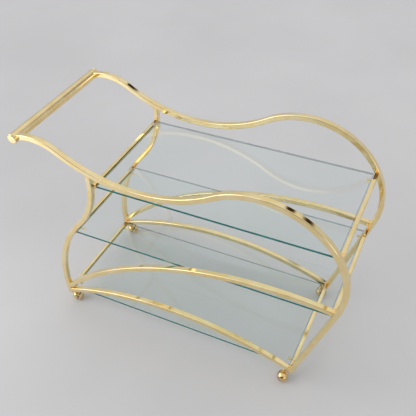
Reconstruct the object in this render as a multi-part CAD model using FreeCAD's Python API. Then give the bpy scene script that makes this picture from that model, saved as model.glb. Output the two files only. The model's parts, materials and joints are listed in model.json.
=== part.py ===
import FreeCAD, Part
import math
import os

# Bar cart on four ball casters: two curved square-tube side frames joined by
# crossbars and a round handle, with three glass shelves resting on pegs.
# Millimetres. X runs along the cart (handle at -X), Y across it, Z up.
# The origin is on the floor, midway between the two side frames.

os.makedirs("parts", exist_ok=True)

Vector = FreeCAD.Vector
UP = Vector(0, 0, 1)
ACROSS = Vector(0, 1, 0)

# Driving dimensions of the whole cart
cart_length = 1168.0
frame_spacing = 440.0

# Square frame tube and crossbar tube
tube_size = 19.0
tube_wall = 1.5
tube_corner = 2.5
bar_size = 13.0
bar_wall = 1.2
bar_corner = 1.2

# Round handle, its end caps and the fine groove beside each cap
handle_radius = 17.5
handle_wall = 1.5
handle_overhang = 10.0
cap_length = 4.0
cap_groove = 0.8
cap_chamfer = 0.6
cap_crown = 1.5
cap_spigot = 8.0
cap_clearance = 0.05

# Ball casters. The axle slopes down to the wheel half, and the ball trails the stem.
ball_radius = 22.0
caster_inset = 22.0
caster_trail = 12.0
axle_tilt = 35.0
ball_split_gap = 3.0
hood_wall = 2.5
wheel_wall = 3.0
hub_radius = 6.0
axle_radius = 3.0
axle_clearance = 0.05
axle_end_depth = 14.0
hood_boss_radius = 5.0
neck_radius = 6.5
neck_rise = 2.5
stem_radius = 4.0
stem_clearance = 0.05
stem_reach = 8.0
stem_shown = 6.0
boss_radius = 7.0

# Swivel angle of each caster about its stem, as it happened to roll to a stop
caster_angles = {
    "front_left": 22.0,
    "rear_left": 18.0,
    "front_right": 168.0,
    "rear_right": 210.0,
}

# Side profile as drawn, before it is fitted to the cart length. Distances run
# back from the handle's axis and heights run up from the ends of the legs.
foot_height = 2 * ball_radius + neck_rise + stem_shown
end_plate = 2.0
handle_rise = 768.0
rail_lead = handle_radius + 2.5
rail_heading = 14.3
crest_radius = 179.3
crest_turn = -46.9
dip_radius = 525.0
dip_turn = 63.8
bend_radius = 282.5
bend_turn = -139.2
leg_top_along = 267.0
leg_heading = -86.8
leg_upper_radius = 350.0
leg_upper_turn = -45.5
leg_lower_radius = 586.0
leg_lower_turn = 44.8
lower_arch_rise = tube_size / 2 + 0.5
lower_arch_sag = 104.5
arch_foot_gap = 4.0
upper_arch_low_rise = lower_arch_rise + tube_size + arch_foot_gap
upper_arch_high_rise = 403.0
upper_arch_sag = 142.3
arch_lengths = 6

# Shelves: the glass tops as drawn, and the play around each pane
shelf_rises = {"top": 637.0, "middle": 376.0, "bottom": 21.0}
glass_thickness = 8.0
glass_end_gap = 3.0
glass_side_gap = 2.5
glass_corner = 3.0
glass_bevel = 0.6

# Shelf pegs: a round pin in the bar's side face with a round seat under the glass
peg_radius = 1.5
peg_reach = 15.0
peg_seat_radius = 5.5
peg_seat_height = 2 * peg_radius + 0.6
peg_from_side = 32.0


def flat(x, z):
    """A point of the side profile, on the plane midway between the frames."""
    return Vector(x, 0, z)


def heading_vector(angle):
    return flat(math.cos(math.radians(angle)), math.sin(math.radians(angle)))


class Path:
    """A chain of tangent arcs and straight lengths in the side plane."""

    def __init__(self, start, heading):
        self.start = start
        self.end = start
        self.heading = heading
        self.pieces = []

    def arc(self, radius, turn):
        side = math.copysign(1.0, turn)
        centre = self.end + heading_vector(self.heading + 90.0 * side) * radius
        middle = centre + heading_vector(self.heading + turn / 2 - 90.0 * side) * radius
        end = centre + heading_vector(self.heading + turn - 90.0 * side) * radius
        edge = Part.Arc(self.end, middle, end).toShape()
        piece = {"edge": edge, "start": self.end, "heading": self.heading}
        piece.update(centre=centre, turn=turn)
        self.pieces.append(piece)
        self.heading += turn
        self.end = end
        return self

    def line(self, length):
        step = heading_vector(self.heading) * length
        edge = Part.makeLine(self.end, self.end + step)
        piece = {"edge": edge, "start": self.end, "heading": self.heading}
        piece.update(step=step)
        self.pieces.append(piece)
        self.end = self.end + step
        return self

    def line_down_to(self, height):
        return self.line((self.end.z - height) / -math.sin(math.radians(self.heading)))

    def crossings(self, ruler):
        """Where the path meets a straight ruler drawn in the side plane."""
        found = []
        for piece in self.pieces:
            gap, pairs, info = piece["edge"].distToShape(ruler)
            if gap < 1e-4:
                found.extend(pair[0] for pair in pairs)
        return found

    def at_height(self, height, pick):
        ruler = Part.makeLine(flat(-cart_length, height), flat(cart_length, height))
        return pick(self.crossings(ruler), key=lambda point: point.x)

    def at_x(self, x):
        ruler = Part.makeLine(flat(x, -cart_length), flat(x, 2 * cart_length))
        return max(self.crossings(ruler), key=lambda point: point.z)


def arch_between(start, end, sag):
    """An arc from start to end that rises by sag above its chord, in equal lengths."""
    chord = end - start
    radius = (chord.Length ** 2 / 4 + sag ** 2) / (2 * sag)
    half_turn = math.degrees(math.asin(chord.Length / 2 / radius))
    slope = math.degrees(math.atan2(chord.z, chord.x))
    path = Path(start, slope + half_turn)
    for length in range(arch_lengths):
        path.arc(radius, -2 * half_turn / arch_lengths)
    return path


def rounded_square(size, corner):
    """A square face about the origin in the YZ plane with round corners."""
    block = Part.makeBox(size, size, size, Vector(0, -size / 2, -size / 2))
    if corner > 0:
        long_edges = [e for e in block.Edges if abs(e.tangentAt(e.FirstParameter).x) > 0.9]
        block = block.makeFillet(corner, long_edges)
    return next(face for face in block.Faces if face.normalAt(0, 0).x < -0.9)


def hollow_square(size, corner, wall):
    """The same face with a plain square hole, leaving the tube's wall."""
    return rounded_square(size, corner).cut(rounded_square(size - 2 * wall, 0)).Faces[0]


def sweep(path, face):
    """A face carried along a path: turned round each arc, drawn along each line."""
    lengths = []
    for piece in path.pieces:
        section = face.copy()
        section.rotate(Vector(0, 0, 0), ACROSS, -piece["heading"])
        section.translate(piece["start"])
        if "centre" in piece:
            lengths.append(section.revolve(piece["centre"], ACROSS, -piece["turn"]))
        else:
            lengths.append(section.extrude(piece["step"]))
    return lengths[0].fuse(lengths[1:]) if len(lengths) > 1 else lengths[0]


def largest(shape):
    return max(shape.Solids, key=lambda solid: solid.Volume)


def at_side(shape, side):
    """A copy of a midplane shape moved onto the front (-1) or rear (+1) frame."""
    copy = shape.copy()
    copy.translate(ACROSS * (side * frame_spacing / 2))
    return copy


def cylinder_between(start, end, radius):
    axis = end - start
    return Part.makeCylinder(radius, axis.Length, start, axis)


def save(name, shapes):
    """Write one named piece, or a group of identical separate pieces."""
    solids = []
    for shape in shapes:
        solids.extend(shape.Solids)
    if len(solids) == 1:
        solids[0].exportStep("parts/" + name + ".step")
    else:
        Part.makeCompound(solids).exportStep("parts/" + name + ".step")


# ---------------------------------------------------------------- side frame

def drawn_reach():
    """Distance from the start of the crest to the far side of the big bend, as drawn."""
    angles = [rail_heading]
    for turn in (crest_turn, dip_turn):
        angles.append(angles[-1] + turn)
    sines = [math.sin(math.radians(angle)) for angle in angles]
    crest = crest_radius * (sines[0] - sines[1])
    dip = dip_radius * (sines[2] - sines[1])
    bend = bend_radius * (sines[2] + 1.0)
    return crest + dip + bend


rail_start = handle_radius + tube_size / 2 + rail_lead * math.cos(math.radians(rail_heading))
side_scale = (cart_length - rail_start) / drawn_reach()
handle_x = -cart_length / 2 + handle_radius


def level(rise):
    """Height above the floor of a drawn height above the leg ends."""
    return foot_height + rise * side_scale


def rail_path():
    path = Path(flat(handle_x, level(handle_rise)), rail_heading).line(rail_lead)
    path.arc(crest_radius * side_scale, crest_turn)
    path.arc(dip_radius * side_scale, dip_turn)
    path.arc(bend_radius * side_scale, bend_turn)
    return path.line_down_to(foot_height)


def curved_leg_path(rail):
    path = Path(rail.at_x(handle_x + leg_top_along * side_scale), leg_heading)
    path.arc(leg_upper_radius * side_scale, leg_upper_turn)
    path.arc(leg_lower_radius * side_scale, leg_lower_turn)
    return path.line_down_to(foot_height)


def build_side():
    """The four tubes of one side frame and its end plates, on the midplane."""
    rail = rail_path()
    leg = curved_leg_path(rail)
    upper = arch_between(
        leg.at_height(level(upper_arch_low_rise), min),
        rail.at_height(level(upper_arch_high_rise), max),
        upper_arch_sag * side_scale,
    )
    lower = arch_between(
        leg.at_height(foot_height + lower_arch_rise, min),
        rail.at_height(foot_height + lower_arch_rise, max),
        lower_arch_sag * side_scale,
    )
    paths = {"rail": rail, "leg": leg, "upper": upper, "lower": lower}
    solid_face = rounded_square(tube_size, tube_corner)
    tube_face = hollow_square(tube_size, tube_corner, tube_wall)
    outer = {name: sweep(path, solid_face) for name, path in paths.items()}
    tubes = {name: sweep(path, tube_face) for name, path in paths.items()}
    handle_core = cylinder_between(
        rail.start - ACROSS * tube_size,
        rail.start + ACROSS * tube_size,
        handle_radius,
    )
    tubes["rail"] = largest(tubes["rail"].cut(handle_core))
    tubes["leg"] = largest(tubes["leg"].cut(outer["rail"]))
    tubes["upper"] = largest(tubes["upper"].cut(outer["leg"]).cut(outer["rail"]))
    for other in ("leg", "rail", "upper"):
        tubes["lower"] = tubes["lower"].cut(outer[other])
    tubes["lower"] = largest(tubes["lower"])
    plates = [foot_plate(path) for path in (leg, rail)]
    return paths, outer, tubes, plates


def foot_plate(path):
    """The thin plate that closes the bottom end of a leg."""
    end = Path(path.end, path.heading).line(end_plate)
    return sweep(end, rounded_square(tube_size, tube_corner))


# ---------------------------------------------------------------- crossbars

def crossbar(x, glass_top):
    """A small square tube standing between the inner faces of the frames."""
    half = (frame_spacing - tube_size) / 2
    section = hollow_square(bar_size, bar_corner, bar_wall)
    section.rotate(Vector(0, 0, 0), UP, 90)
    section.translate(Vector(x, -half, bar_middle(glass_top)))
    return section.extrude(ACROSS * (2 * half))


def bar_middle(glass_top):
    """Height of a crossbar's centre, with its underside level with the peg seats."""
    return glass_top - glass_thickness - peg_seat_height + bar_size / 2


def bar_centres(paths, glass_top):
    """X of a shelf's two crossbars, flush with the inner edges of the legs."""
    height = bar_middle(glass_top)
    inset = (tube_size - bar_size) / 2
    low = paths["leg"].at_height(height, min).x + inset
    high = paths["rail"].at_height(height, max).x - inset
    return low, high


# ------------------------------------------------------------------ shelves

def glass_shelf(low, high, top):
    half_width = (frame_spacing - tube_size) / 2 - glass_side_gap
    start = low + bar_size / 2 + glass_end_gap
    end = high - bar_size / 2 - glass_end_gap
    pane = Part.makeBox(
        end - start,
        2 * half_width,
        glass_thickness,
        Vector(start, -half_width, top - glass_thickness),
    )
    corners = [e for e in pane.Edges if abs(e.tangentAt(e.FirstParameter).z) > 0.9]
    pane = pane.makeFillet(glass_corner, corners)
    rims = [e for e in pane.Edges if abs(e.tangentAt(e.FirstParameter).z) < 0.1]
    return pane.makeChamfer(glass_bevel, rims)


def shelf_pegs(low, high, top):
    """Four pegs: two in the side face of each crossbar."""
    underside = top - glass_thickness
    y_off = frame_spacing / 2 - tube_size / 2 - peg_from_side
    pegs = []
    for bar_x, inward in ((low, 1.0), (high, -1.0)):
        for y in (-y_off, y_off):
            root = Vector(bar_x + inward * bar_size / 2, y, underside - peg_seat_height / 2)
            tip = root + Vector(inward * peg_reach, 0, 0)
            pin = cylinder_between(root, tip, peg_radius)
            foot = tip - UP * (peg_seat_height / 2)
            seat = Part.makeCylinder(peg_seat_radius, peg_seat_height, foot)
            pegs.append(pin.fuse(seat).removeSplitter())
    return pegs


# ------------------------------------------------------------------- handle

def handle_parts(centre):
    half_tube = frame_spacing / 2 + tube_size / 2 + handle_overhang - cap_length
    start = centre - ACROSS * half_tube
    end = centre + ACROSS * half_tube
    tube = cylinder_between(start, end, handle_radius)
    tube = tube.cut(cylinder_between(start, end, handle_radius - handle_wall))
    return tube, [handle_cap(end, 1.0), handle_cap(start, -1.0)]


def handle_cap(seat, side):
    """A crowned plug: spigot inside the tube, groove, rim and shallow dome."""
    spigot_radius = handle_radius - handle_wall - cap_clearance
    rim = handle_radius - cap_chamfer
    dome_start = cap_length - cap_crown
    dome_radius = (rim ** 2 + cap_crown ** 2) / (2 * cap_crown)
    half_angle = math.asin(rim / dome_radius) / 2
    dome_drop = dome_radius * (1 - math.cos(half_angle))
    dome_mid = Vector(dome_radius * math.sin(half_angle), 0, cap_length - dome_drop)
    outline = [
        (0, -cap_spigot),
        (spigot_radius, -cap_spigot),
        (spigot_radius, 0),
        (rim, 0),
        (rim, cap_groove),
        (handle_radius, cap_groove + cap_chamfer / 2),
        (handle_radius, dome_start - cap_chamfer / 2),
        (rim, dome_start),
    ]
    points = [Vector(r, 0, a) for r, a in outline]
    edges = [Part.makeLine(a, b) for a, b in zip(points, points[1:])]
    crown = Part.Arc(points[-1], dome_mid, Vector(0, 0, cap_length))
    edges.append(crown.toShape())
    edges.append(Part.makeLine(Vector(0, 0, cap_length), points[0]))
    cap = Part.Face(Part.Wire(edges)).revolve(Vector(0, 0, 0), UP, 360)
    cap.rotate(Vector(0, 0, 0), Vector(1, 0, 0), -90.0 * side)
    cap.translate(seat)
    return cap


# ------------------------------------------------------------------ casters

def half_ball(radius, side, split):
    """The part of a ball on one side of the split, with the split face at Z."""
    ball = Part.makeSphere(radius)
    block = Part.makeBox(4 * radius, 4 * radius, 2 * radius, Vector(-2 * radius, -2 * radius, 0))
    if side < 0:
        block.translate(Vector(0, 0, -2 * radius))
    block.translate(Vector(0, 0, side * split))
    return ball.common(block)


def caster_wheel():
    """Hollow half ball with a bored hub; its axle lies along Z."""
    shell = half_ball(ball_radius, 1, ball_split_gap / 2)
    shell = shell.cut(Part.makeSphere(ball_radius - wheel_wall))
    hub_length = ball_radius - wheel_wall / 2 - ball_split_gap / 2
    hub = Part.makeCylinder(hub_radius, hub_length, Vector(0, 0, ball_split_gap / 2))
    wheel = shell.fuse(hub).removeSplitter()
    bore = Part.makeCylinder(axle_radius + axle_clearance, axle_end_depth + ball_split_gap)
    return wheel.cut(bore)


def caster_hood():
    """Hollow half ball opposite the wheel, with a boss that holds the axle."""
    shell = half_ball(ball_radius, -1, ball_split_gap / 2)
    shell = shell.cut(Part.makeSphere(ball_radius - hood_wall))
    length = ball_radius - hood_wall / 2 - ball_split_gap / 2
    boss = Part.makeCylinder(hood_boss_radius, length, Vector(0, 0, -ball_split_gap / 2), -UP)
    pocket = Part.makeCylinder(axle_radius, axle_end_depth, Vector(0, 0, 0), -UP)
    return shell.fuse(boss).removeSplitter().cut(pocket)


def caster_axle():
    return Part.makeCylinder(axle_radius, 2 * axle_end_depth, Vector(0, 0, -axle_end_depth))


def aim(shape):
    """Turn a piece built along Z so the axle points to +X and down."""
    shape.rotate(Vector(0, 0, 0), ACROSS, 90.0 + axle_tilt)
    shape.translate(Vector(0, caster_trail, ball_radius))
    return shape


def build_caster(stem_top):
    """One caster on a stem axis at the origin, trailing towards +Y."""
    wheel = aim(caster_wheel())
    axle = aim(caster_axle())
    hood = aim(caster_hood())
    neck_top = 2 * ball_radius + neck_rise
    neck = Part.makeCylinder(neck_radius, neck_top - ball_radius, UP * ball_radius)
    ball = Part.makeSphere(ball_radius - hood_wall / 2)
    ball.translate(Vector(0, caster_trail, ball_radius))
    hood = hood.fuse(neck.cut(ball)).removeSplitter()
    stem_start = neck_top - 2 * neck_radius
    pocket = Part.makeCylinder(stem_radius, neck_top - stem_start, UP * stem_start)
    stem = Part.makeCylinder(stem_radius, stem_top - stem_start, UP * stem_start)
    stem = stem.cut(ball)
    hood = hood.cut(pocket.cut(ball))
    return {"hood": largest(hood), "stem": stem, "axle": axle, "wheel": wheel}


def caster_seat(lower, x):
    """Height of the tube's underside on the stem axis."""
    centre = lower.at_x(x)
    step = lower.at_x(x + 1.0) - centre
    slope = math.atan2(step.z, step.x)
    return centre.z - tube_size / 2 / math.cos(slope)


# ----------------------------------------------------------------- assembly

def build():
    paths, outer, tubes, plates = build_side()
    lower = paths["lower"]
    foot_left = paths["leg"].end.x
    foot_right = paths["rail"].end.x
    sides = {"front": -1.0, "rear": 1.0}
    ends = {"left": foot_left + caster_inset, "right": foot_right - caster_inset}
    bosses = []
    lower_tubes = {name: at_side(tubes["lower"], side) for name, side in sides.items()}
    for corner, angle in caster_angles.items():
        side_name, end_name = corner.split("_")
        x = ends[end_name]
        y = sides[side_name] * frame_spacing / 2
        seat = caster_seat(lower, x)
        centre_z = lower.at_x(x).z
        boss_start = Vector(x, y, foot_height)
        bore = Part.makeCylinder(stem_radius + stem_clearance, centre_z - foot_height, boss_start)
        boss = Part.makeCylinder(boss_radius, centre_z - foot_height, boss_start)
        boss = boss.cut(at_side(outer["lower"], sides[side_name])).cut(bore)
        bosses.append(largest(boss))
        lower_tubes[side_name] = largest(lower_tubes[side_name].cut(bore))
        for piece, shape in build_caster(seat + stem_reach).items():
            shape.rotate(Vector(0, 0, 0), UP, angle)
            shape.translate(Vector(x, y, 0))
            save("caster_" + piece + "_" + corner, [shape])
    save("caster_bosses", bosses)

    for name, side in sides.items():
        save(name + "_top_rail", [at_side(tubes["rail"], side)])
        save(name + "_curved_leg", [at_side(tubes["leg"], side)])
        save(name + "_upper_arch", [at_side(tubes["upper"], side)])
        save(name + "_lower_arch", [lower_tubes[name]])
    save("foot_plates", [at_side(plate, side) for side in sides.values() for plate in plates])

    tube, caps = handle_parts(paths["rail"].start)
    save("handle_tube", [tube])
    save("handle_caps", caps)

    for name, rise in shelf_rises.items():
        top = level(rise)
        low, high = bar_centres(paths, top)
        save(name + "_crossbar_left", [crossbar(low, top)])
        save(name + "_crossbar_right", [crossbar(high, top)])
        save(name + "_glass_shelf", [glass_shelf(low, high, top)])
        save(name + "_shelf_pegs", shelf_pegs(low, high, top))


build()
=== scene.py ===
import json
import math

import bmesh
import bpy
import numpy as np
from mathutils import Matrix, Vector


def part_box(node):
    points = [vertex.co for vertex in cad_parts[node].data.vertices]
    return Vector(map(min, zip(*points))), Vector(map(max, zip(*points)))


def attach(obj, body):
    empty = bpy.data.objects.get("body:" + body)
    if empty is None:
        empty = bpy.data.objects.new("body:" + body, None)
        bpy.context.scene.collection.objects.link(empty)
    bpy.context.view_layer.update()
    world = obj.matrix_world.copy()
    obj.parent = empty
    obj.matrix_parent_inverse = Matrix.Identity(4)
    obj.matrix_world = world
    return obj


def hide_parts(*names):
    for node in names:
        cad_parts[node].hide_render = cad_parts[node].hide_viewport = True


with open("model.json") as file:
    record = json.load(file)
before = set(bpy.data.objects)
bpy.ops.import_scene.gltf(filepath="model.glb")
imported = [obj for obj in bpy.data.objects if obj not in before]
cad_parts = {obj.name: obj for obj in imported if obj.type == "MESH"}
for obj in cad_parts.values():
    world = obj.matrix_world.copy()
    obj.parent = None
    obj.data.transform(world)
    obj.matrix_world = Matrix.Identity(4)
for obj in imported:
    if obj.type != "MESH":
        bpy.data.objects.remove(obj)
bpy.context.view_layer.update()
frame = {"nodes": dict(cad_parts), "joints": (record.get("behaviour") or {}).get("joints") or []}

bl_info = {
    "name": "Bar Cart",
    "version": (1, 0, 0),
    "blender": (4, 5, 0),
    "location": "3D View > Sidebar > Bar Cart",
    "description": "Builds the visible surfaces of a rolling bar cart around its packed parts",
    "category": "Object",
}

MM = 0.001
SIDES = ("front", "rear")
LEVELS = ("top", "middle", "bottom")
CORNERS = ("front_left", "rear_left", "front_right", "rear_right")

# Side profile as drawn, in millimetres: the same bends as the tubes were rolled to
RAIL_LEAD = 20.0
RAIL_HEADING = 14.3
CREST = (179.3, -46.9)
DIP = (525.0, 63.8)
BEND = (282.5, -139.2)
LEG_ALONG = 267.0
LEG_HEADING = -86.8
LEG_BENDS = ((350.0, -45.5), (586.0, 44.8))
UPPER_ARCH = (33.0, 403.0, 142.3)
LOWER_ARCH = (10.0, 104.5)
STATION = 5.0 * MM

# Radius at which a turned profile stops short of its axis, where a small flat closes it
TIP = 0.2 * MM

# Each tube is drawn this much smaller than the one it runs into, so no two walls share a plane
WALL_STEP = 0.12 * MM

# Weld heat: how far from a side frame's joint it starts to fade, and how far it then reaches
WELD_START = 10.0 * MM
WELD_REACH = 9.0 * MM
BAR_WELD_REACH = 5.0 * MM

# Handle: softened ends of the grip, and the caps' crown, rim, groove, shoulder and softened corners
GRIP_EDGE = 0.3 * MM
CAP_CROWN = 1.5 * MM
CAP_RIM_INSET = 0.6 * MM
CAP_SEAT_GAP = 0.02 * MM
GROOVE_TOP = 0.8 * MM
GROOVE_SLOPE = 1.1 * MM
SHOULDER_STEP = 0.3 * MM
CAP_EDGE = 0.15 * MM

# Shelf pegs: softened rims of the seats and the pins
SEAT_EDGE = 0.5 * MM
PIN_EDGE = 0.1 * MM

# Casters: the wheel with its hub and axle bore, and the hood with its boss and neck
BALL_SEGMENTS = 64
WHEEL_WALL = 3.0 * MM
WHEEL_HUB = 6.0 * MM
AXLE_BORE = 3.05 * MM
BORE_DEPTH = 14.0 * MM
HOOD_WALL = 2.5 * MM
HOOD_BOSS = 5.0 * MM
NECK_RADIUS = 6.5 * MM
NECK_HEIGHT = 11.0 * MM
NECK_EDGE = 0.6 * MM

# Span of the noise that blotches are drawn from, because nearly all of it lies there
NOISE_LOW = 0.35
NOISE_HIGH = 0.65

# Refraction of soda-lime glass
GLASS_IOR = 1.5

# Soft sky: the heights between which it turns from horizon to sky colour, and its strength
SKY_RISE = (0.35, 0.85)
SKY_STRENGTH = 0.85

# Patches of the sky: direction, angles in degrees where a patch is full and where it ends, and kind
SKY_PATCHES = (
    ((0.15, -1.0, -0.05), 22.0, 56.0, "room"),
    ((-0.80, -0.42, 0.43), 14.0, 34.0, "window"),
    ((-0.30, -0.72, 0.62), 4.0, 10.0, "window"),
    ((0.78, -0.60, 0.06), 6.0, 15.0, "window"),
    ((0.53, 0.655, 0.54), 4.0, 9.0, "doorway"),
    ((0.22, 0.71, 0.665), 2.0, 6.0, "doorway"),
)

# Light on the floor at the front left: cone in degrees, lamp radius, place and aim in metres
SPILL_CONE = 52.0
SPILL_RADIUS = 0.3
SPILL_PLACE = (-2.7, -1.75, 1.6)
SPILL_AIM = (-1.75, -1.2, 0.0)

# Camera: sensor and lens in millimetres, shift as a share of the picture's width, turns in degrees,
# and place in metres, with x counted from the handle's axis
CAMERA_SENSOR = 36.0
CAMERA_LENS = 48.717
CAMERA_SHIFT_X = -0.0491
CAMERA_SHIFT_Y = 0.0464
CAMERA_TURNS = (-25.67, -43.68, -1.87)
CAMERA_PLACE = (1.29026, -1.32029, 1.85771)


def linear(hex_colour):
    """An sRGB hex colour as the linear values that shaders and lights take."""
    channels = np.array([int(hex_colour[i : i + 2], 16) for i in (1, 3, 5)]) / 255.0
    low = channels / 12.92
    high = ((channels + 0.055) / 1.055) ** 2.4
    return tuple(np.where(channels <= 0.04045, low, high).tolist())


# ----------------------------------------------------------------- meshes

def make_piece(name, points, faces, body, node, materials, bands=None, smooth=True):
    """Puts points and faces into a closed mesh that stands for a CAD node and rides on a body.

    Bands give each face the index of its material. Faces are turned to point outwards.
    """
    mesh = bpy.data.meshes.new(name)
    mesh.from_pydata(points.tolist(), [], faces)
    mesh.polygons.foreach_set("use_smooth", np.full(len(faces), smooth))
    if bands is not None:
        mesh.polygons.foreach_set("material_index", np.asarray(bands, np.int32))
    shell = bmesh.new()
    shell.from_mesh(mesh)
    bmesh.ops.recalc_face_normals(shell, faces=shell.faces)
    shell.to_mesh(mesh)
    shell.free()
    for material in materials:
        mesh.materials.append(material)
    piece = bpy.data.objects.new(name, mesh)
    bpy.context.scene.collection.objects.link(piece)
    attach(piece, body)
    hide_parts(node)
    return piece


def grid_faces(rows, columns, offset=0):
    """Quads of a grid whose columns close into a ring, and a cap on its first and last rows."""
    row = np.arange(rows - 1)[:, None] * columns
    column = np.arange(columns)[None, :]
    following = (column + 1) % columns
    quads = np.stack(
        [row + column, row + following, row + columns + following, row + columns + column], axis=-1
    )
    first = np.arange(columns) + offset
    last = first + (rows - 1) * columns
    return (quads.reshape(-1, 4) + offset).tolist() + [first[::-1].tolist(), last.tolist()]


def joined(parts):
    """Points and faces of several closed shapes as one list of each."""
    points = np.vstack([grid for grid, faces in parts])
    starts = np.cumsum([0] + [len(grid) for grid, faces in parts])
    faces = []
    for start, (grid, part_faces) in zip(starts.tolist(), parts):
        faces += [[i + start for i in face] for face in part_faces]
    return points, faces


def square_ring(size, corner, steps=6):
    """Outline of a square with round corners, as pairs (across, up).

    Each corner is a quarter circle about the corner's centre. A point just inside each end
    of a flat keeps the shading of the flat from bending towards the corner.
    """
    half = size / 2 - corner
    inset = min(corner * 0.35, half * 0.3)
    ring = []
    for quarter in range(4):
        turn = quarter * math.pi / 2
        angle = turn + np.linspace(0, math.pi / 2, steps)
        diagonal = turn + math.pi / 4
        middle = np.array([math.cos(diagonal), math.sin(diagonal)]) * math.sqrt(2) * half
        arc = middle + corner * np.stack([np.cos(angle), np.sin(angle)], axis=1)
        before = arc[0] - inset * np.array([-math.sin(turn), math.cos(turn)])
        after = arc[-1] - inset * np.array([math.cos(turn), math.sin(turn)])
        ring.append(np.vstack([before, arc, after]))
    return np.vstack(ring)


def chain(start, heading, pieces, step=STATION):
    """Stations along a chain of tangent arcs and straight lengths in the side plane.

    On an arc of radius r, the heading changes by length / r and the point moves by the
    integral of (cos, sin) of the heading. A straight length has no turn.
    Returns points (x, z), headings in radians and the length so far.
    """
    points = [np.array([start])]
    headings = [np.array([math.radians(heading)])]
    for size, turn in pieces:
        bend = math.radians(turn)
        length = size * abs(bend) if turn else size
        count = max(2, int(round(length / step)))
        share = np.arange(1, count + 1) / count
        first = headings[-1][-1]
        angle = first + bend * share
        if turn:
            radius = math.copysign(size, turn)
            along = np.sin(angle) - math.sin(first)
            up = math.cos(first) - np.cos(angle)
            moved = radius * np.stack([along, up], axis=1)
        else:
            moved = (share * length)[:, None] * np.array([math.cos(first), math.sin(first)])
        points.append(points[-1][-1] + moved)
        headings.append(angle)
    points = np.vstack(points)
    headings = np.concatenate(headings)
    steps = np.linalg.norm(np.diff(points, axis=0), axis=1)
    return points, headings, np.concatenate([[0.0], np.cumsum(steps)])


def arch(start, end, sag):
    """One arc between two points that rises by sag over its chord: r = (c^2 / 4 + sag^2) / (2 sag)."""
    chord = np.subtract(end, start)
    span = float(np.linalg.norm(chord))
    radius = (span ** 2 / 4 + sag ** 2) / (2 * sag)
    half_turn = math.degrees(math.asin(span / 2 / radius))
    slope = math.degrees(math.atan2(chord[1], chord[0]))
    return chain(start, slope + half_turn, [(radius, -2 * half_turn)])


def tube_along(path, y, ring):
    """A closed profile carried along a side-plane path: point + normal * up, and y + across."""
    points, headings, lengths = path
    normal = np.stack([-np.sin(headings), np.cos(headings)], axis=1)
    flat = points[:, None, :] + normal[:, None, :] * ring[None, :, 1, None]
    across = np.broadcast_to(y + ring[None, :, 0], flat.shape[:2])
    grid = np.stack([flat[..., 0], across, flat[..., 1]], axis=-1).reshape(-1, 3)
    return grid, grid_faces(len(points), len(ring))


def heat_near(piece, gap, reach):
    """Stores how much weld heat reached each point: 1 at the joint and 0 beyond the reach."""
    attribute = piece.data.attributes.new("weld", "FLOAT", "POINT")
    attribute.data.foreach_set("value", np.clip(1.0 - gap / reach, 0.0, 1.0).astype(np.float32))


def turned(profile, origin, axis, segments):
    """A profile of (radius, along) pairs turned about an axis.

    The point at angle t is origin + axis * along + (u cos t + v sin t) * radius,
    where u and v are square to the axis.
    """
    axis = np.array(axis, float) / np.linalg.norm(axis)
    helper = np.array([0.0, 0.0, 1.0]) if abs(axis[2]) < 0.9 else np.array([1.0, 0.0, 0.0])
    u = np.cross(helper, axis)
    u /= np.linalg.norm(u)
    v = np.cross(axis, u)
    angle = np.arange(segments) * 2 * math.pi / segments
    spoke = np.cos(angle)[:, None] * u + np.sin(angle)[:, None] * v
    profile = np.array(profile, float)
    grid = np.array(origin) + profile[:, None, 1, None] * axis + profile[:, None, 0, None] * spoke[None]
    return grid.reshape(-1, 3), grid_faces(len(profile), segments)


def ball_arc(radius, start, end, steps):
    """(radius, along) pairs on a ball from one height along its axis to another: r sin t, r cos t."""
    angle = np.linspace(math.acos(start / radius), math.acos(end / radius), steps)
    return list(np.stack([radius * np.sin(angle), radius * np.cos(angle)], axis=1))


def rounded(profile, corner, steps=3):
    """Cuts each inner corner of an open profile back by corner and bridges it with an arc-like curve.

    The bridge is the quadratic curve (1-t)^2 a + 2 t (1-t) p + t^2 b about the old corner p.
    """
    profile = [np.array(p, float) for p in profile]
    result = [profile[0]]
    for before, here, after in zip(profile, profile[1:], profile[2:]):
        back = before - here
        ahead = after - here
        cut = min(corner, np.linalg.norm(back) / 2.1, np.linalg.norm(ahead) / 2.1)
        a = here + back / np.linalg.norm(back) * cut
        b = here + ahead / np.linalg.norm(ahead) * cut
        for t in np.linspace(0, 1, steps + 1):
            result.append((1 - t) ** 2 * a + 2 * t * (1 - t) * here + t ** 2 * b)
    result.append(profile[-1])
    return result


def disc_profile(radius, low, high, corner):
    """Profile of a plain turned pin or disc with its rims rounded."""
    return rounded([(TIP, low), (radius, low), (radius, high), (TIP, high)], corner)


# -------------------------------------------------------------- materials

def add_node(tree, kind, settings=None, links=None):
    """Adds one node. Settings and links are keyed by a property's or a socket's name or number."""
    node = tree.nodes.new(kind)
    for key, value in (settings or {}).items():
        if isinstance(key, str) and hasattr(node, key):
            setattr(node, key, value)
        else:
            node.inputs[key].default_value = value
    for key, source in (links or {}).items():
        tree.links.new(source, node.inputs[key])
    return node


def blotches(tree, place, size_mm, low, high, detail=3.0, stretch=(1.0, 1.0, 1.0)):
    """A value that drifts from low to high in blotches of a real size."""
    fitted = add_node(tree, "ShaderNodeMapping", {"Scale": stretch}, {"Vector": place})
    pattern = add_node(
        tree,
        "ShaderNodeTexNoise",
        {"Scale": 1.0 / (size_mm * MM), "Detail": detail, "Roughness": 0.5},
        {"Vector": fitted.outputs["Vector"]},
    )
    return add_node(
        tree,
        "ShaderNodeMapRange",
        {"From Min": NOISE_LOW, "From Max": NOISE_HIGH, "To Min": low, "To Max": high},
        {"Value": pattern.outputs["Fac"]},
    ).outputs["Result"]


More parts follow.
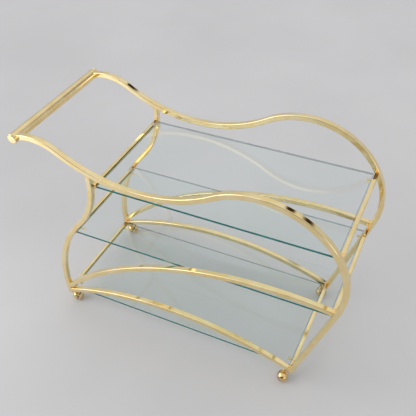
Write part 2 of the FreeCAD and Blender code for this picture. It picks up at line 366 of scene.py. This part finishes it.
def drifting_tone(tree, place, size_mm, first, second, stretch=(1.0, 1.0, 1.0)):
    """A colour that drifts between two fixed tones in blotches of a real size."""
    share = blotches(tree, place, size_mm, 0.0, 1.0, stretch=stretch)
    settings = {"data_type": "RGBA", 6: (*first, 1.0), 7: (*second, 1.0)}
    return add_node(tree, "ShaderNodeMix", settings, {0: share}).outputs[2]


def new_tree(name):
    """A new material's empty node tree and the Object coordinates its patterns use."""
    material = bpy.data.materials.new(name)
    material.use_nodes = True
    tree = material.node_tree
    tree.nodes.clear()
    place = add_node(tree, "ShaderNodeTexCoord").outputs["Object"]
    return material, tree, place


def metal(name, tones, weld, gloss, coat, grain):
    """Plated metal: the tone drifts, smudges change the gloss, and welds keep a warm heat tint."""
    material, tree, place = new_tree(name)
    tone = drifting_tone(tree, place, 55.0, *tones)
    heat = add_node(tree, "ShaderNodeAttribute", {"attribute_name": "weld"}).outputs["Fac"]
    patchy = blotches(tree, place, 9.0, 0.15, 0.75)
    tinted = add_node(tree, "ShaderNodeMath", {"operation": "MULTIPLY"}, {0: heat, 1: patchy})
    colour = add_node(
        tree, "ShaderNodeMix", {"data_type": "RGBA", 7: (*weld, 1.0)}, {0: tinted.outputs[0], 6: tone}
    )
    smudges = blotches(tree, place, 22.0, *gloss, detail=4.0)
    lines = blotches(tree, place, grain["pitch_mm"], 0.0, 1.0, 2.0, grain["stretch"])
    bump = add_node(
        tree, "ShaderNodeBump", {"Strength": 1.0, "Distance": grain["depth_mm"] * MM}, {"Height": lines}
    )
    shader = add_node(
        tree,
        "ShaderNodeBsdfPrincipled",
        {"Metallic": 1.0, "Coat Weight": coat, "Coat Roughness": 0.06},
        {"Base Color": colour.outputs[2], "Roughness": smudges, "Normal": bump.outputs["Normal"]},
    )
    add_node(tree, "ShaderNodeOutputMaterial", None, {"Surface": shader.outputs["BSDF"]})
    return material


def buffed_brass_plate(name, finish):
    """Brass plate on steel tube, wheel buffed and lacquered: mirror bright, a little wavy."""
    waves = {"pitch_mm": 60.0, "stretch": (1.0, 1.0, 1.0), "depth_mm": 0.08}
    return metal(name, (finish.brass, finish.brass_deep), finish.weld, (0.05, 0.11), 0.1, waves)


def satin_brass_tube(name, finish):
    """Brass plate, satin polished round the grip: one long soft highlight with fine drawn lines.

    The real lines are under 0.1 mm apart, so they are drawn coarser to show at all.
    """
    drawn = {"pitch_mm": 4.0, "stretch": (1.0, 0.02, 1.0), "depth_mm": 0.02}
    return metal(name, (finish.grip, finish.grip_deep), finish.weld, (0.17, 0.24), 0.0, drawn)


def tumbled_caster_brass(name, finish):
    """Brass plate on a zinc shell, tumbled then polished: redder than the tube, slightly rubbed."""
    rubbed = {"pitch_mm": 12.0, "stretch": (1.0, 1.0, 1.0), "depth_mm": 0.01}
    return metal(name, (finish.caster, finish.caster_deep), finish.weld, (0.05, 0.11), 0.1, rubbed)


def turned_steel(name, finish):
    """Turned steel, zinc plated: cool grey, with fine turning rings that blur what it mirrors. On the
    wheel's rim band the same grey is a painted reflection of the floor.
    """
    rings = {"pitch_mm": 1.5, "stretch": (1.0, 1.0, 1.0), "depth_mm": 0.01}
    return metal(name, (finish.steel, finish.steel_deep), finish.steel, (0.16, 0.30), 0.0, rings)


def raw_zinc_casting(name, finish):
    """Nearly black and dull: painted shade inside the caster shells, where the narrow gap lets little light
    into the hollows.
    """
    material, tree, place = new_tree(name)
    tone = drifting_tone(tree, place, 3.0, finish.casting, finish.casting_deep)
    rough = blotches(tree, place, 2.0, 0.6, 0.8)
    shader = add_node(
        tree, "ShaderNodeBsdfPrincipled", {"Metallic": 0.0}, {"Base Color": tone, "Roughness": rough}
    )
    add_node(tree, "ShaderNodeOutputMaterial", None, {"Surface": shader.outputs["BSDF"]})
    return material


def clear_float_glass(name, finish):
    """Clear float glass: faintly green, with a mirror sheen on its outer faces at low angles."""
    material, tree, place = new_tree(name)
    tint = drifting_tone(tree, place, 120.0, finish.glass, finish.glass_deep)
    clear = add_node(tree, "ShaderNodeBsdfTransparent", None, {"Color": tint})
    wiped = blotches(tree, place, 60.0, 0.0, 0.02)
    sheen = add_node(tree, "ShaderNodeBsdfGlossy", {"Color": (1.0, 1.0, 1.0, 1.0)}, {"Roughness": wiped})
    fresnel = add_node(tree, "ShaderNodeFresnel", {"IOR": GLASS_IOR}).outputs["Fac"]
    inside = add_node(tree, "ShaderNodeNewGeometry").outputs["Backfacing"]
    outside = add_node(tree, "ShaderNodeMath", {"operation": "SUBTRACT", 0: 1.0}, {1: inside})
    share = add_node(
        tree, "ShaderNodeMath", {"operation": "MULTIPLY"}, {0: fresnel, 1: outside.outputs[0]}
    )
    pane = add_node(
        tree,
        "ShaderNodeMixShader",
        None,
        {0: share.outputs[0], 1: clear.outputs[0], 2: sheen.outputs[0]},
    )
    add_node(tree, "ShaderNodeOutputMaterial", None, {"Surface": pane.outputs[0]})
    return material


def polished_glass_edge(name, finish):
    """Polished edge of float glass: the long way through the pane turns it deep green-blue."""
    material, tree, place = new_tree(name)
    streak_mm = 40.0
    stretch = (1.0, 1.0, 6.0)
    tone = drifting_tone(tree, place, streak_mm, finish.edge_deep, finish.edge, stretch)
    outside = add_node(
        tree, "ShaderNodeBsdfPrincipled", {"Roughness": 0.08, "IOR": GLASS_IOR}, {"Base Color": tone}
    )
    shade = drifting_tone(
        tree, place, streak_mm, finish.edge_shade, finish.edge_shade_deep, stretch
    )
    through = add_node(tree, "ShaderNodeBsdfTransparent", None, {"Color": shade})
    inside = add_node(tree, "ShaderNodeNewGeometry").outputs["Backfacing"]
    edge = add_node(
        tree, "ShaderNodeMixShader", None, {0: inside, 1: outside.outputs[0], 2: through.outputs[0]}
    )
    add_node(tree, "ShaderNodeOutputMaterial", None, {"Surface": edge.outputs[0]})
    return material


def matt_floor_paint(name, finish):
    """Matt floor paint: pale grey, with the faintest drift of tone."""
    material, tree, place = new_tree(name)
    tone = drifting_tone(tree, place, 900.0, finish.floor, finish.floor_deep)
    shader = add_node(tree, "ShaderNodeBsdfPrincipled", {"Roughness": 0.6}, {"Base Color": tone})
    add_node(tree, "ShaderNodeOutputMaterial", None, {"Surface": shader.outputs["BSDF"]})
    return material


def finished(maker):
    """The material that a maker makes, made the first time it is asked for."""
    name = maker.__name__
    return bpy.data.materials.get(name) or maker(name, bpy.context.scene.cart_finish)


def dress(node, maker):
    """Gives a CAD node that stays as it is one finish."""
    mesh = frame["nodes"][node].data
    mesh.materials.clear()
    mesh.materials.append(finished(maker))


# ------------------------------------------------------------ measurements

def centre(node):
    low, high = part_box(node)
    return np.array((low + high) / 2)


def joint_named(name):
    return next(joint for joint in frame["joints"] if joint["name"] == name)


def at_height(path, height, pick):
    """X where a side-plane path crosses a height; pick chooses among several crossings."""
    x, z = path[0].T
    above = np.nonzero((z[:-1] - height) * (z[1:] - height) <= 0)[0]
    share = (height - z[above]) / (z[above + 1] - z[above])
    return pick(x[above] + share * (x[above + 1] - x[above]))


def at_x(path, x):
    """Height of the upper crossing of a path with an upright line."""
    across, up = path[0].T
    near = np.nonzero((across[:-1] - x) * (across[1:] - x) <= 0)[0]
    share = (x - across[near]) / (across[near + 1] - across[near])
    return (up[near] + share * (up[near + 1] - up[near])).max()


class Profile:
    """The side profile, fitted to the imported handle, rail and feet."""

    def __init__(self, tube):
        handle = centre("handle_tube")
        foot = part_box("caster_bosses")[0].z
        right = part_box("front_top_rail")[1].x
        start = (handle[0], handle[2])
        headings = np.radians(np.cumsum([RAIL_HEADING, CREST[1], DIP[1]]))
        sines = np.sin(headings)
        reach = CREST[0] * (sines[0] - sines[1]) + DIP[0] * (sines[2] - sines[1])
        reach += BEND[0] * (sines[2] + 1.0)
        lead = RAIL_LEAD * MM
        scale = (right - tube / 2 - handle[0] - lead * math.cos(headings[0])) / (reach * MM)
        drawn = scale * MM
        bends = [(radius * drawn, turn) for radius, turn in (CREST, DIP, BEND)]
        rough = chain(start, RAIL_HEADING, [(lead, 0), *bends])
        down = (rough[0][-1][1] - foot) / -math.sin(rough[1][-1])
        self.rail = chain(start, RAIL_HEADING, [(lead, 0), *bends, (down, 0)])
        leg_x = handle[0] + LEG_ALONG * drawn
        leg_top = (leg_x, at_x(self.rail, leg_x))
        curves = [(radius * drawn, turn) for radius, turn in LEG_BENDS]
        rough = chain(leg_top, LEG_HEADING, curves)
        down = (rough[0][-1][1] - foot) / -math.sin(rough[1][-1])
        self.leg = chain(leg_top, LEG_HEADING, [*curves, (down, 0)])
        low, high, sag = UPPER_ARCH
        low_z = foot + low * drawn
        high_z = foot + high * drawn
        self.upper = arch(
            (at_height(self.leg, low_z, np.min), low_z),
            (at_height(self.rail, high_z, np.max), high_z),
            sag * drawn,
        )
        arch_z = foot + LOWER_ARCH[0] * MM
        self.lower = arch(
            (at_height(self.leg, arch_z, np.min), arch_z),
            (at_height(self.rail, arch_z, np.max), arch_z),
            LOWER_ARCH[1] * drawn,
        )
        self.welds = {
            "rail": [start],
            "leg": [leg_top],
            "upper": [tuple(self.upper[0][0]), tuple(self.upper[0][-1])],
            "lower": [tuple(self.lower[0][0]), tuple(self.lower[0][-1])],
        }


# -------------------------------------------------------------- properties

class CartSizes(bpy.types.PropertyGroup):
    tube: bpy.props.FloatProperty(
        name="Frame tube", description="Width of the square frame tube", default=19 * MM, unit="LENGTH"
    )
    tube_corner: bpy.props.FloatProperty(
        name="Tube corner", description="Corner radius of the frame tube", default=2.5 * MM, unit="LENGTH"
    )
    bar_corner: bpy.props.FloatProperty(
        name="Bar corner", description="Corner radius of the crossbars", default=1.2 * MM, unit="LENGTH"
    )
    glass_corner: bpy.props.FloatProperty(
        name="Glass corner", description="Corner radius of the panes", default=3 * MM, unit="LENGTH"
    )
    glass_bevel: bpy.props.FloatProperty(
        name="Glass bevel", description="Width of the bevel round each pane", default=0.6 * MM, unit="LENGTH"
    )
    peg_pin: bpy.props.FloatProperty(
        name="Peg pin", description="Radius of each shelf peg's pin", default=1.5 * MM, unit="LENGTH"
    )
    peg_seat: bpy.props.FloatProperty(
        name="Peg seat", description="Radius of each shelf peg's round seat", default=5.5 * MM, unit="LENGTH"
    )
    peg_reach: bpy.props.FloatProperty(
        name="Peg reach", description="From the bar's face to the middle of a seat", default=15 * MM,
        unit="LENGTH",
    )
    ball: bpy.props.FloatProperty(
        name="Caster ball", description="Radius of the caster balls", default=22 * MM, unit="LENGTH"
    )
    ball_gap: bpy.props.FloatProperty(
        name="Ball gap", description="Gap between the hood and the wheel", default=3 * MM, unit="LENGTH"
    )
    # Rim band: a band round the wheel's rim coloured steel grey, a painted reflection of the floor
    rim_band: bpy.props.FloatProperty(
        name="Rim band", description="Width of the bare steel band round the wheel's rim", default=2.5 * MM,
        unit="LENGTH",
    )


def colour(name, description, hex_colour):
    """A colour property with an sRGB hex default."""
    return bpy.props.FloatVectorProperty(
        name=name, description=description, subtype="COLOR", default=linear(hex_colour)
    )


class CartFinish(bpy.types.PropertyGroup):
    brass: colour("Brass", "Frame tube where the plate is palest", "#FBE8B6")
    brass_deep: colour("Brass, deep", "Frame tube where the plate is deepest", "#F6DD9F")
    grip: colour("Grip", "Handle where the plate is palest", "#F9E4B2")
    grip_deep: colour("Grip, deep", "Handle where the plate is deepest", "#F2D89C")
    caster: colour("Caster", "Caster shell where the plate is palest", "#F0CF92")
    caster_deep: colour("Caster, deep", "Caster shell where the plate is rubbed", "#DDB272")
    weld: colour("Weld tint", "Warm tint that the heat leaves beside a weld", "#E39A2E")
    # Steel colours the pins, and on the wheel's rim band it is a painted reflection of the floor
    steel: colour("Steel", "Pins and the wheel's rim", "#B4B9BF")
    steel_deep: colour("Steel, deep", "Pins where the zinc is dull", "#8C9197")
    # The two colours inside the caster shells are painted shade, near black where little light reaches
    casting: colour("Casting", "Inside of the shells", "#1A1815")
    casting_deep: colour("Casting, deep", "Inside of the shells in the hollows", "#0D0C0B")
    glass: colour("Glass", "What one face of a pane lets through", "#FAFDFC")
    glass_deep: colour("Glass, deep", "The same where a film dims it", "#FBFDFD")
    edge: colour("Glass edge", "Edge of a pane where light comes through it", "#10857F")
    edge_deep: colour("Glass edge, deep", "Edge of a pane where it is darkest", "#015A5E")
    edge_shade: colour("Edge from inside", "What an edge lets through from inside the pane", "#C8D1D1")
    edge_shade_deep: colour("Edge from inside, deep", "The same where it is darkest", "#B6C2C2")
    floor: colour("Floor", "Floor where it is palest", "#D3D2D3")
    floor_deep: colour("Floor, deep", "Floor where it is deepest", "#CDCCCD")


class CartStage(bpy.types.PropertyGroup):
    floor_size: bpy.props.FloatProperty(
        name="Floor", description="Length of the floor's side", default=14.0, unit="LENGTH"
    )
    window_strength: bpy.props.FloatProperty(
        name="Window", description="Brightness of the large soft window on the left", default=3.2
    )
    spill_power: bpy.props.FloatProperty(
        name="Window spill", description="Power of the light on the floor at the front left", default=190.0,
        unit="POWER",
    )
    sky: colour("Sky", "Soft light from above", "#FFFFFF")
    horizon: colour("Horizon", "Soft light from the sides", "#D7D9DE")
    room: colour("Room", "Dim room in front of the cart", "#6E675E")
    doorway: colour("Doorway", "Dark doorway behind the cart on the right", "#30200E")


# --------------------------------------------------------------- operators

class CART_OT_side_frames(bpy.types.Operator):
    """Sweeps the square tubes of both side frames and gives the plates that close their feet their finish"""

    bl_idname = "cart.side_frames"
    bl_label = "Side frames"

    def execute(self, context):
        sizes = context.scene.cart_sizes
        profile = Profile(sizes.tube)
        names = {"top_rail": "rail", "curved_leg": "leg", "upper_arch": "upper", "lower_arch": "lower"}
        for side in SIDES:
            y = centre(side + "_top_rail")[1]
            for rank, (node, key) in enumerate(names.items()):
                full = side + "_" + node
                ring = square_ring(sizes.tube - rank * WALL_STEP, sizes.tube_corner)
                grid, faces = tube_along(getattr(profile, key), y, ring)
                tube = make_piece(
                    full + "_tube", grid, faces, "cart", full, [finished(buffed_brass_plate)],
                )
                joints = np.array(profile.welds[key])
                apart = np.linalg.norm(grid[:, None, (0, 2)] - joints[None], axis=2).min(axis=1)
                heat_near(tube, apart - WELD_START, WELD_REACH)
        dress("foot_plates", buffed_brass_plate)
        return {"FINISHED"}


class CART_OT_crossbars(bpy.types.Operator):
    """Sweeps the six small square tubes between the side frames"""

    bl_idname = "cart.crossbars"
    bl_label = "Crossbars"

    def execute(self, context):
        for level in LEVELS:
            for end in ("left", "right"):
                self.bar(level + "_crossbar_" + end, context.scene.cart_sizes.bar_corner)
        return {"FINISHED"}

    def bar(self, node, corner):
        """The square outline about the bar's axis, carried straight across from frame to frame."""
        low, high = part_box(node)
        middle = (low + high) / 2
        ring = square_ring(high.x - low.x, corner, 4)
        stations = np.linspace(low.y, high.y, 12)
        across, along = np.meshgrid(ring[:, 0], stations)
        height = np.broadcast_to(middle.z + ring[:, 1], across.shape)
        grid = np.stack([middle.x + across, along, height], axis=-1).reshape(-1, 3)
        faces = grid_faces(len(stations), len(ring))
        bar = make_piece(
            node + "_tube", grid, faces, "cart", node, [finished(buffed_brass_plate)]
        )
        heat_near(bar, np.minimum(grid[:, 1] - low.y, high.y - grid[:, 1]), BAR_WELD_REACH)


class CART_OT_glass_shelves(bpy.types.Operator):
    """Makes the three panes: a round-cornered outline carried over a bevelled edge profile"""

    bl_idname = "cart.glass_shelves"
    bl_label = "Glass shelves"

    def execute(self, context):
        sizes = context.scene.cart_sizes
        for level in LEVELS:
            self.pane(level + "_glass_shelf", sizes.glass_corner, sizes.glass_bevel)
        return {"FINISHED"}

    def pane(self, node, corner, bevel):
        """The outline is (a, b) + quarter circles of the corner radius; each row of the edge
        profile pulls it in by an inset and lifts it to a height."""
        low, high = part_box(node)
        outline = []
        corners = ((high.x, high.y), (low.x, high.y), (low.x, low.y), (high.x, low.y))
        middle = (low.x + high.x) / 2
        for quarter, (x, y) in enumerate(corners):
            angle = quarter * math.pi / 2 + np.linspace(0, math.pi / 2, 5)
            hub = np.array([x - math.copysign(corner, x - middle), y - math.copysign(corner, y)])
            outward = np.stack([np.cos(angle), np.sin(angle)], axis=1)
            outline.append(np.hstack([hub + corner * outward, outward]))
        outline = np.vstack(outline)
        profile = ((bevel, low.z), (0.0, low.z + bevel), (0.0, high.z - bevel), (bevel, high.z))
        rows = []
        for inset, height in profile:
            flat = outline[:, :2] - inset * outline[:, 2:]
            rows.append(np.column_stack([flat, np.full(len(flat), height)]))
        grid = np.vstack(rows)
        faces = grid_faces(len(profile), len(outline))
        edge_of_two = [1] * (len(faces) - 2) + [0, 0]
        finishes = [finished(clear_float_glass), finished(polished_glass_edge)]
        make_piece(
            node + "_pane", grid, faces, "cart", node, finishes, edge_of_two, smooth=False
        )


class CART_OT_shelf_pegs(bpy.types.Operator):
    """Turns the pins and round seats that each pane rests on"""

    bl_idname = "cart.shelf_pegs"
    bl_label = "Shelf pegs"

    def execute(self, context):
        sizes = context.scene.cart_sizes
        for level in LEVELS:
            node = level + "_shelf_pegs"
            low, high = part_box(node)
            parts = []
            for end_x, inward in ((low.x, 1.0), (high.x, -1.0)):
                for y in (low.y + sizes.peg_seat, high.y - sizes.peg_seat):
                    parts += self.peg(sizes, end_x, inward, y, low.z, high.z)
            grid, faces = joined(parts)
            make_piece(
                node + "_turned", grid, faces, "cart", node, [finished(buffed_brass_plate)]
            )
        return {"FINISHED"}

    def peg(self, sizes, end_x, inward, y, low_z, high_z):
        """A round seat turned about an upright axis and a pin turned about a level one."""
        seat_x = end_x + inward * sizes.peg_reach
        pin_end = sizes.peg_reach - sizes.peg_seat / 2
        seat = disc_profile(sizes.peg_seat, low_z, high_z, SEAT_EDGE)
        pin = disc_profile(sizes.peg_pin, 0.0, pin_end, PIN_EDGE)
        return [
            turned(seat, (seat_x, y, 0.0), (0, 0, 1), 28),
            turned(pin, (end_x, y, (low_z + high_z) / 2), (inward, 0, 0), 16),
        ]


class CART_OT_handle(bpy.types.Operator):
    """Turns the round handle and its two crowned end caps"""

    bl_idname = "cart.handle"
    bl_label = "Handle"

    def execute(self, context):
        low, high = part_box("handle_tube")
        middle = centre("handle_tube")
        radius = (high.z - low.z) / 2
        length = high.y - low.y
        tube = disc_profile(radius, 0.0, length, GRIP_EDGE)
        half = len(tube) // 2
        stations = [(radius, s) for s in np.linspace(0.0, length, 40)[1:-1]]
        profile = tube[:half] + stations + tube[half:]
        grid, faces = turned(profile, (middle[0], low.y, middle[2]), (0, 1, 0), 96)
        make_piece(
            "handle_grip", grid, faces, "cart", "handle_tube", [finished(satin_brass_tube)]
        )
        cap_low, cap_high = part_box("handle_caps")
        caps = [
            self.cap(middle, radius, high.y, cap_high.y),
            self.cap(middle, radius, low.y, cap_low.y),
        ]
        grid, faces = joined(caps)
        make_piece(
            "handle_end_caps", grid, faces, "cart", "handle_caps", [finished(buffed_brass_plate)],
        )
        return {"FINISHED"}

    def cap(self, middle, radius, seat, end):
        """A fine groove, a short collar and a crown whose height is the sine of the turn to its rim."""
        thick = abs(end - seat)
        rim = radius - CAP_RIM_INSET
        shoulder = thick - CAP_CROWN
        turn = np.linspace(0.0, math.acos(TIP / rim), 12)
        dome = np.stack([rim * np.cos(turn), shoulder + CAP_CROWN * np.sin(turn)], axis=1)
        groove = [(TIP, CAP_SEAT_GAP), (rim, CAP_SEAT_GAP), (rim, GROOVE_TOP), (radius, GROOVE_SLOPE)]
        collar = rounded([*groove, (radius, shoulder - SHOULDER_STEP), dome[0]], CAP_EDGE)
        outward = math.copysign(1.0, end - seat)
        return turned(collar + list(dome[1:]), (middle[0], seat, middle[2]), (0, outward, 0), 96)


class CART_OT_casters(bpy.types.Operator):
    """Turns each ball caster: fixed hood with its neck, and rolling half with its hub"""

    bl_idname = "cart.casters"
    bl_label = "Casters"

    def execute(self, context):
        sizes = context.scene.cart_sizes
        # Caster brass, near-black painted shade for the shells' insides, and steel grey for the pins and as
        # a painted reflection on the wheel's rim
        finishes = [finished(maker) for maker in (tumbled_caster_brass, raw_zinc_casting, turned_steel)]
        for corner in CORNERS:
            spin = joint_named("spin_" + corner)
            middle = np.array(spin["pos_m"])
            axle = np.array(spin["axis"])
            stem = np.array(joint_named("swivel_" + corner)["pos_m"])
            self.wheel(corner, sizes, middle, axle, finishes)
            self.hood(corner, sizes, middle, axle, stem, finishes)
            dress("caster_axle_" + corner, turned_steel)
            dress("caster_stem_" + corner, turned_steel)
        dress("caster_bosses", tumbled_caster_brass)
        return {"FINISHED"}

    def wheel(self, corner, sizes, middle, axle, finishes):
        """Half a ball with a hub inside it, a band at its rim coloured steel grey as a painted reflection of
        the floor, and a bore for the axle.
        """
        gap = sizes.ball_gap / 2
        inner = sizes.ball - WHEEL_WALL
        bore_end = BORE_DEPTH + sizes.ball_gap
        core = [(TIP, bore_end), (AXLE_BORE, bore_end), (AXLE_BORE, gap), (WHEEL_HUB, gap)]
        hollow = ball_arc(inner, math.sqrt(inner ** 2 - WHEEL_HUB ** 2), gap, 10)
        # The rim band takes the steel grey as a painted reflection of the floor
        band = ball_arc(sizes.ball, gap, gap + sizes.rim_band, 4)
        dome = ball_arc(sizes.ball, gap + sizes.rim_band, math.sqrt(sizes.ball ** 2 - TIP ** 2), 28)
        profile = [*core, *hollow, *band, *dome[1:]]
        # Hub, bore and hollow take the near-black painted shade, the rim band the painted reflection, the
        # dome the caster brass
        rows = [1] * (len(core) + len(hollow) - 1) + [2] * len(band) + [0] * (len(dome) - 1)
        grid, faces = turned(profile, middle, axle, BALL_SEGMENTS)
        bands = np.concatenate([np.repeat(rows, BALL_SEGMENTS), [1, 0]])
        make_piece(
            "caster_ball_" + corner, grid, faces, "wheel_" + corner, "caster_wheel_" + corner, finishes,
            bands,
        )

    def hood(self, corner, sizes, middle, axle, stem, finishes):
        """Half a ball on the other side of the gap, with a boss inside it and a neck on the stem's axis."""
        gap = sizes.ball_gap / 2
        inner = sizes.ball - HOOD_WALL
        core = [(TIP, gap), (HOOD_BOSS, gap)]
        hollow = ball_arc(inner, math.sqrt(inner ** 2 - HOOD_BOSS ** 2), gap, 10)
        dome = ball_arc(sizes.ball, gap, math.sqrt(sizes.ball ** 2 - TIP ** 2), 30)
        # Boss and hollow take the near-black painted shade; the dome and the neck take the caster brass
        rows = [1] * (len(core) + len(hollow) - 1) + [0] * len(dome)
        shell = turned([*core, *hollow, *dome], middle, -axle, BALL_SEGMENTS)
        neck_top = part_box("caster_hood_" + corner)[1].z
        neck_line = disc_profile(NECK_RADIUS, neck_top - NECK_HEIGHT, neck_top, NECK_EDGE)
        neck = turned(neck_line, (stem[0], stem[1], 0.0), (0, 0, 1), 36)
        grid, faces = joined([shell, neck])
        bands = np.concatenate([np.repeat(rows, BALL_SEGMENTS), [1, 0], np.zeros(len(neck[1]), int)])
        make_piece(
            "caster_hood_shell_" + corner, grid, faces, "swivel_" + corner, "caster_hood_" + corner,
            finishes, bands,
        )


class CART_OT_stage(bpy.types.Operator):
    """Lays the plain floor and sets the soft lights and the camera"""

    bl_idname = "cart.stage"
    bl_label = "Stage"

    def execute(self, context):
        stage = context.scene.cart_stage
        scene = context.scene
        self.floor(stage.floor_size / 2)
        self.world(scene, stage)
        self.spill(scene, stage.spill_power)
        self.camera(scene)
        scene.view_settings.view_transform = "Standard"
        return {"FINISHED"}

    def floor(self, half):
        """A plain square at floor height."""
        points = np.array([(-half, -half, 0), (half, -half, 0), (half, half, 0), (-half, half, 0)])
        mesh = bpy.data.meshes.new("floor")
        mesh.from_pydata(points.tolist(), [], [(0, 1, 2, 3)])
        mesh.materials.append(finished(matt_floor_paint))
        floor = bpy.data.objects.new("floor", mesh)
        bpy.context.scene.collection.objects.link(floor)

    def world(self, scene, stage):
        """Soft light from every side, with bright windows, a dim room and a dark doorway."""
        world = bpy.data.worlds.new("soft_studio")
        world.use_nodes = True
        tree = world.node_tree
        tree.nodes.clear()
        place = add_node(tree, "ShaderNodeTexCoord").outputs["Generated"]
        height = add_node(tree, "ShaderNodeSeparateXYZ", None, {"Vector": place}).outputs["Z"]
        rise = add_node(
            tree,
            "ShaderNodeMapRange",
            {"From Min": SKY_RISE[0], "From Max": SKY_RISE[1]},
            {"Value": height},
        ).outputs["Result"]
        ramp = {"data_type": "RGBA", 6: (*stage.horizon, 1.0), 7: (*stage.sky, 1.0)}
        light = add_node(tree, "ShaderNodeMix", ramp, {0: rise}).outputs[2]
        window = tuple(stage.window_strength * channel for channel in stage.sky)
        shades = {"room": stage.room, "window": window, "doorway": stage.doorway}
        for towards, inner, outer, kind in SKY_PATCHES:
            share = self.patch(tree, place, towards, inner, outer)
            shown = {"data_type": "RGBA", 7: (*shades[kind], 1.0)}
            light = add_node(tree, "ShaderNodeMix", shown, {0: share, 6: light}).outputs[2]
        glow = add_node(tree, "ShaderNodeBackground", {"Strength": SKY_STRENGTH}, {"Color": light})
        add_node(tree, "ShaderNodeOutputWorld", None, {"Surface": glow.outputs[0]})
        scene.world = world

    def patch(self, tree, place, towards, inner, outer):
        """A soft round patch of sky: 1 within the inner angle of a direction, 0 beyond the outer one."""
        aim = np.array(towards) / np.linalg.norm(towards)
        settings = {"operation": "DOT_PRODUCT", 1: aim.tolist()}
        facing = add_node(tree, "ShaderNodeVectorMath", settings, {0: place})
        return add_node(
            tree,
            "ShaderNodeMapRange",
            {
                "interpolation_type": "SMOOTHSTEP",
                "From Min": math.cos(math.radians(outer)),
                "From Max": math.cos(math.radians(inner)),
            },
            {"Value": facing.outputs["Value"]},
        ).outputs["Result"]

    def spill(self, scene, power):
        """A soft spot that brightens only the floor beside the cart, for the near tubes to mirror."""
        lamp = bpy.data.lights.new("window_spill", "SPOT")
        lamp.energy = power
        lamp.spot_size = math.radians(SPILL_CONE)
        lamp.spot_blend = 1.0
        lamp.shadow_soft_size = SPILL_RADIUS
        place = np.array(SPILL_PLACE)
        aim = np.array(SPILL_AIM) - place
        pitch = math.atan2(math.hypot(aim[0], aim[1]), -aim[2])
        holder = bpy.data.objects.new("window_spill", lamp)
        holder.location = place.tolist()
        holder.rotation_euler = (pitch, 0.0, math.atan2(-aim[0], aim[1]))
        scene.collection.objects.link(holder)

    def camera(self, scene):
        """Stands in front, to the right and above; heading, pitch and roll are in degrees."""
        handle = centre("handle_tube")
        camera = bpy.data.cameras.new("camera")
        camera.sensor_width = CAMERA_SENSOR
        camera.lens = CAMERA_LENS
        camera.shift_x = CAMERA_SHIFT_X
        camera.shift_y = CAMERA_SHIFT_Y
        holder = bpy.data.objects.new("camera", camera)
        place = (handle[0] + CAMERA_PLACE[0], CAMERA_PLACE[1], CAMERA_PLACE[2])
        heading, pitch, roll = (math.radians(turn) for turn in CAMERA_TURNS)
        level = math.cos(pitch)
        forward = np.array([math.sin(heading) * level, math.cos(heading) * level, math.sin(pitch)])
        right = np.array([math.cos(heading), -math.sin(heading), 0.0])
        up = np.cross(right, forward)
        rolled_right = math.cos(roll) * right + math.sin(roll) * up
        rolled_up = -math.sin(roll) * right + math.cos(roll) * up
        turn = np.eye(4)
        turn[:3, 0] = rolled_right
        turn[:3, 1] = rolled_up
        turn[:3, 2] = -forward
        turn[:3, 3] = place
        holder.matrix_world = Matrix(turn.tolist())
        scene.collection.objects.link(holder)
        scene.camera = holder


class CART_PT_build(bpy.types.Panel):
    """Lists the steps that build the cart"""

    bl_idname = "CART_PT_build"
    bl_label = "Bar Cart"
    bl_space_type = "VIEW_3D"
    bl_region_type = "UI"
    bl_category = "Bar Cart"

    def draw(self, context):
        for step in STEPS:
            self.layout.operator(step.bl_idname)


STEPS = (
    CART_OT_side_frames,
    CART_OT_crossbars,
    CART_OT_glass_shelves,
    CART_OT_shelf_pegs,
    CART_OT_handle,
    CART_OT_casters,
    CART_OT_stage,
)
CLASSES = (CartSizes, CartFinish, CartStage, *STEPS, CART_PT_build)


def register():
    for entry in CLASSES:
        bpy.utils.register_class(entry)
    bpy.types.Scene.cart_sizes = bpy.props.PointerProperty(type=CartSizes)
    bpy.types.Scene.cart_finish = bpy.props.PointerProperty(type=CartFinish)
    bpy.types.Scene.cart_stage = bpy.props.PointerProperty(type=CartStage)


def unregister():
    del bpy.types.Scene.cart_sizes
    del bpy.types.Scene.cart_finish
    del bpy.types.Scene.cart_stage
    for entry in reversed(CLASSES):
        bpy.utils.unregister_class(entry)


def main():
    register()
    bpy.ops.cart.side_frames()
    bpy.ops.cart.crossbars()
    bpy.ops.cart.glass_shelves()
    bpy.ops.cart.shelf_pegs()
    bpy.ops.cart.handle()
    bpy.ops.cart.casters()
    bpy.ops.cart.stage()


if __name__ == "__main__":
    main()
